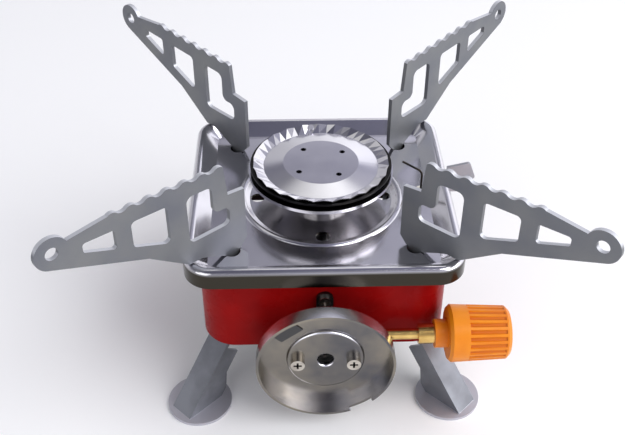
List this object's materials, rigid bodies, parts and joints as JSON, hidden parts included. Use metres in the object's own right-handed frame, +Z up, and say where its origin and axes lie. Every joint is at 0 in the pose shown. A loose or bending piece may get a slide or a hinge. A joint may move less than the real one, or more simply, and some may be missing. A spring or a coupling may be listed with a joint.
{
  "type": "portable gas stove",
  "caption": "Folding camping gas stove with swivelling pan arms, folding legs, a round fluted burner on a mirror tray, a canister connector, a turning knob and a push igniter",
  "frame": {"origin": "on the ground, under the burner's axis, in the middle of the four feet", "axes": "+X to the right of someone facing the connector, +Y away from them, +Z up"},
  "size_m": [0.1653, 0.1569, 0.0991],
  "materials": {
    "mirror_steel": "pressed mirror-polished stainless sheet",
    "red_paint": "glossy red enamel",
    "zinc_plate": "grey zinc plating with a faint blue cast",
    "satin_steel": "satin stainless",
    "bright_screw": "bright nickel",
    "brass": "turned brass",
    "orange_plastic": "moulded orange plastic",
    "cast_alloy": "plain cast alloy",
    "dark_wire": "heat-darkened wire",
    "white_ceramic": "glazed ceramic",
    "black_rubber": "plain rubber",
    "black_plastic": "moulded plastic"
  },
  "bodies": {
    "frame": {"burner_bowl": "mirror_steel", "burner_crown": "mirror_steel", "burner_nut": "zinc_plate", "burner_ring": "mirror_steel", "connector_cup": "satin_steel", "connector_screw_left": "bright_screw", "connector_screw_right": "bright_screw", "electrode_insulator": "white_ceramic", "gas_jet": "brass", "gas_pipe": "brass", "housing": "red_paint", "igniter_electrode": "dark_wire", "igniter_lead": "black_rubber", "inlet_pin": "brass", "inlet_seal": "black_rubber", "jet_holder": "brass", "leg_bracket_back_left": "zinc_plate", "leg_bracket_back_right": "zinc_plate", "leg_bracket_front_left": "zinc_plate", "leg_bracket_front_right": "zinc_plate", "leg_pin_back_left": "zinc_plate", "leg_pin_back_right": "zinc_plate", "leg_pin_front_left": "zinc_plate", "leg_pin_front_right": "zinc_plate", "mixing_tube": "satin_steel", "piezo_body": "black_plastic", "piezo_screw": "bright_screw", "pipe_nut": "zinc_plate", "spindle_seal": "black_rubber", "strap_screw": "bright_screw", "top_tray": "mirror_steel", "valve_body": "cast_alloy", "valve_gland": "brass", "valve_strap": "zinc_plate"},
    "pan_arm_front_left": {"arm_front_left": "zinc_plate", "arm_retainer_front_left": "zinc_plate"},
    "folding_leg_front_left": {"leg_front_left": "zinc_plate"},
    "pan_arm_front_right": {"arm_front_right": "zinc_plate", "arm_retainer_front_right": "zinc_plate"},
    "folding_leg_front_right": {"leg_front_right": "zinc_plate"},
    "pan_arm_back_left": {"arm_back_left": "zinc_plate", "arm_retainer_back_left": "zinc_plate"},
    "folding_leg_back_left": {"leg_back_left": "zinc_plate"},
    "pan_arm_back_right": {"arm_back_right": "zinc_plate", "arm_retainer_back_right": "zinc_plate"},
    "folding_leg_back_right": {"leg_back_right": "zinc_plate"},
    "knob_group": {"knob": "orange_plastic", "knob_ferrule": "brass", "valve_spindle": "brass"},
    "igniter_group": {"igniter_lever": "zinc_plate", "piezo_plunger": "black_plastic"}
  },
  "joints": [
    {"name": "arm_swivel_front_left", "type": "hinge", "parent": "frame", "child": "pan_arm_front_left", "pos_m": [-0.0311, -0.0311, 0.0595], "axis": [0, 0, 1], "range_deg": [-3.2, 129.8]},
    {"name": "arm_swivel_front_right", "type": "hinge", "parent": "frame", "child": "pan_arm_front_right", "pos_m": [0.0311, -0.0311, 0.0595], "axis": [0, 0, 1], "range_deg": [-11.6, 121.4]},
    {"name": "arm_swivel_back_left", "type": "hinge", "parent": "frame", "child": "pan_arm_back_left", "pos_m": [-0.0311, 0.0311, 0.0595], "axis": [0, 0, 1], "range_deg": [-6.5, 126.5]},
    {"name": "arm_swivel_back_right", "type": "hinge", "parent": "frame", "child": "pan_arm_back_right", "pos_m": [0.0311, 0.0311, 0.0595], "axis": [0, 0, 1], "range_deg": [-8.9, 124.1]},
    {"name": "leg_fold_front_left", "type": "hinge", "parent": "frame", "child": "folding_leg_front_left", "pos_m": [-0.03372, -0.03372, 0.0295], "axis": [0.7071, -0.7071, 0], "range_deg": [0, 130.5]},
    {"name": "leg_fold_front_right", "type": "hinge", "parent": "frame", "child": "folding_leg_front_right", "pos_m": [0.03372, -0.03372, 0.0295], "axis": [0.7071, 0.7071, 0], "range_deg": [0, 130.5]},
    {"name": "leg_fold_back_left", "type": "hinge", "parent": "frame", "child": "folding_leg_back_left", "pos_m": [-0.03372, 0.03372, 0.0295], "axis": [-0.7071, -0.7071, 0], "range_deg": [0, 130.5]},
    {"name": "leg_fold_back_right", "type": "hinge", "parent": "frame", "child": "folding_leg_back_right", "pos_m": [0.03372, 0.03372, 0.0295], "axis": [-0.7071, 0.7071, 0], "range_deg": [0, 130.5]},
    {"name": "knob_turn", "type": "hinge", "parent": "frame", "child": "knob_group", "pos_m": [0.03, -0.0475, 0.0351], "axis": [1, 0, 0], "range_deg": [0, 540]},
    {"name": "igniter_press", "type": "slide", "parent": "frame", "child": "igniter_group", "axis": [0, 0, -1], "range_m": [0, 0.0035], "stiffness_N_per_m": 2500, "springref_m": -0.0012}
  ]
}
